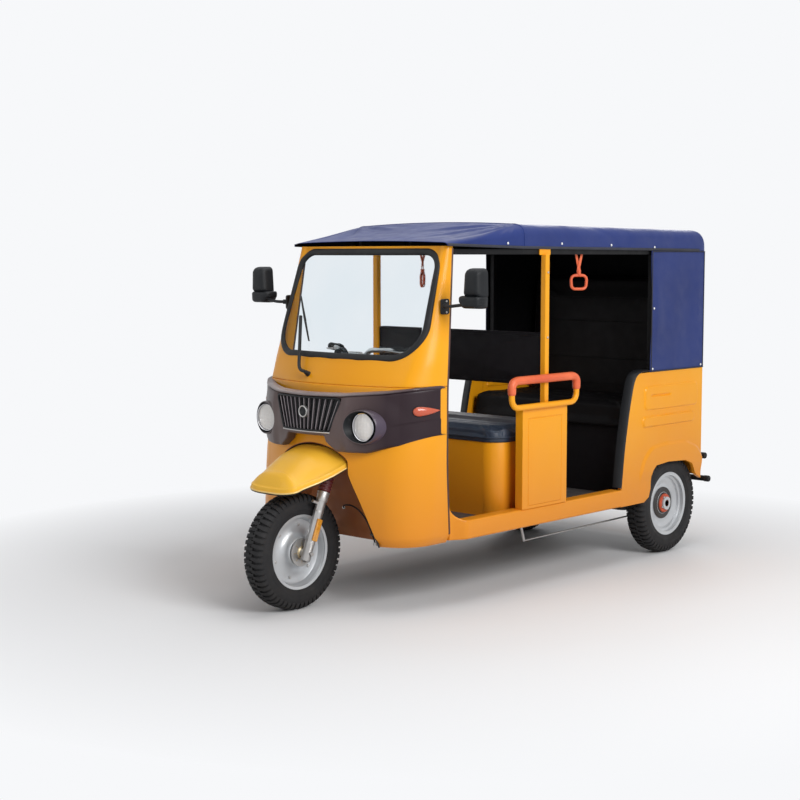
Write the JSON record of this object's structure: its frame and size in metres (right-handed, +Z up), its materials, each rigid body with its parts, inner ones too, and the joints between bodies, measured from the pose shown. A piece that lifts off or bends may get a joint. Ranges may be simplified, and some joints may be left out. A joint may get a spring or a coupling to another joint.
{
  "type": "auto rickshaw",
  "caption": "Three-wheeled passenger auto rickshaw with a yellow open-sided body, blue cloth roof, steered front wheel and padded grab hoops.",
  "frame": {"origin": "on the ground, on the centre plane, under the middle of the length", "axes": "+X the vehicle's left side, -Y its front, +Z up"},
  "size_m": [1.4394, 2.8559, 1.7139],
  "materials": {
    "body_yellow": "gloss enamel",
    "frame_black": "satin enamel",
    "fork_red": "dark red enamel",
    "wheel_silver": "silver enamel",
    "bright_steel": "zinc plated",
    "chrome_trim": "polished",
    "cast_metal": "as cast, dark",
    "tyre_black": "moulded tyre rubber",
    "black_rubber": "extruded rubber",
    "mask_plastic": "dark metallic plastic",
    "black_plastic": "grained plastic",
    "lamp_lens": "clear moulded lens",
    "amber_lens": "amber lens",
    "red_lens": "red lens",
    "clear_glass": "flat tinted glass",
    "seat_vinyl": "dark blue-black vinyl",
    "grey_vinyl": "grey vinyl",
    "bench_vinyl": "black vinyl",
    "pad_coral": "coral vinyl sleeve",
    "roof_cloth": "coated blue cloth",
    "board_black": "covered board"
  },
  "bodies": {
    "root": {"steering_head": "frame_black", "cab_shell": "body_yellow", "wheel_well": "body_yellow", "front_mudguard": "body_yellow", "front_mask": "mask_plastic", "grille": "chrome_trim", "headlamps": "lamp_lens", "indicators": "amber_lens", "windscreen": "clear_glass", "windscreen_seal": "black_rubber", "wiper": "frame_black", "dashboard": "black_plastic", "chassis_frame": "frame_black", "floor_pan": "black_rubber", "side_sills": "body_yellow", "seat_box": "body_yellow", "driver_cushion": "seat_vinyl", "jump_cushion": "grey_vinyl", "partition_board": "board_black", "post_panels": "body_yellow", "door_posts": "body_yellow", "grab_hoops": "body_yellow", "hoop_pads": "pad_coral", "roof_frame": "frame_black", "roof_bows": "frame_black", "canopy_top": "roof_cloth", "canopy_sides": "roof_cloth", "canopy_rear": "roof_cloth", "quarter_panel_left": "body_yellow", "quarter_panel_right": "body_yellow", "tail_panel": "body_yellow", "bench_base": "board_black", "bench_cushion": "bench_vinyl", "bench_back": "bench_vinyl", "mirrors": "black_plastic", "hand_straps": "pad_coral", "rear_bumper": "frame_black", "tail_lamps": "red_lens", "engine_block": "cast_metal", "rear_axle": "cast_metal", "leaf_springs": "frame_black", "brake_linkage": "bright_steel", "brake_cable": "black_rubber", "cable_clips": "black_plastic"},
    "steering": {"fork_sliders": "bright_steel", "fork_upper": "fork_red", "handlebar": "chrome_trim", "hand_grips": "black_rubber"},
    "front_wheel": {"front_rim": "wheel_silver", "front_tyre": "tyre_black"},
    "rear_wheel_left": {"rear_rim_left": "wheel_silver", "rear_tyre_left": "tyre_black"},
    "rear_wheel_right": {"rear_rim_right": "wheel_silver", "rear_tyre_right": "tyre_black"}
  },
  "joints": [
    {"name": "steer", "type": "hinge", "parent": "root", "child": "steering", "pos_m": [0, -1.12828, 0.24114], "axis": [0, 0.3746, 0.9272], "range_deg": [-35, 35]},
    {"name": "front_wheel_spin", "type": "hinge", "parent": "steering", "child": "front_wheel", "pos_m": [0, -1.17, 0.258], "axis": [1, 0, 0], "continuous": true},
    {"name": "rear_left_spin", "type": "hinge", "parent": "root", "child": "rear_wheel_left", "pos_m": [0.458, 1.067, 0.258], "axis": [1, 0, 0], "continuous": true},
    {"name": "rear_right_spin", "type": "hinge", "parent": "root", "child": "rear_wheel_right", "pos_m": [-0.458, 1.067, 0.258], "axis": [1, 0, 0], "continuous": true}
  ]
}
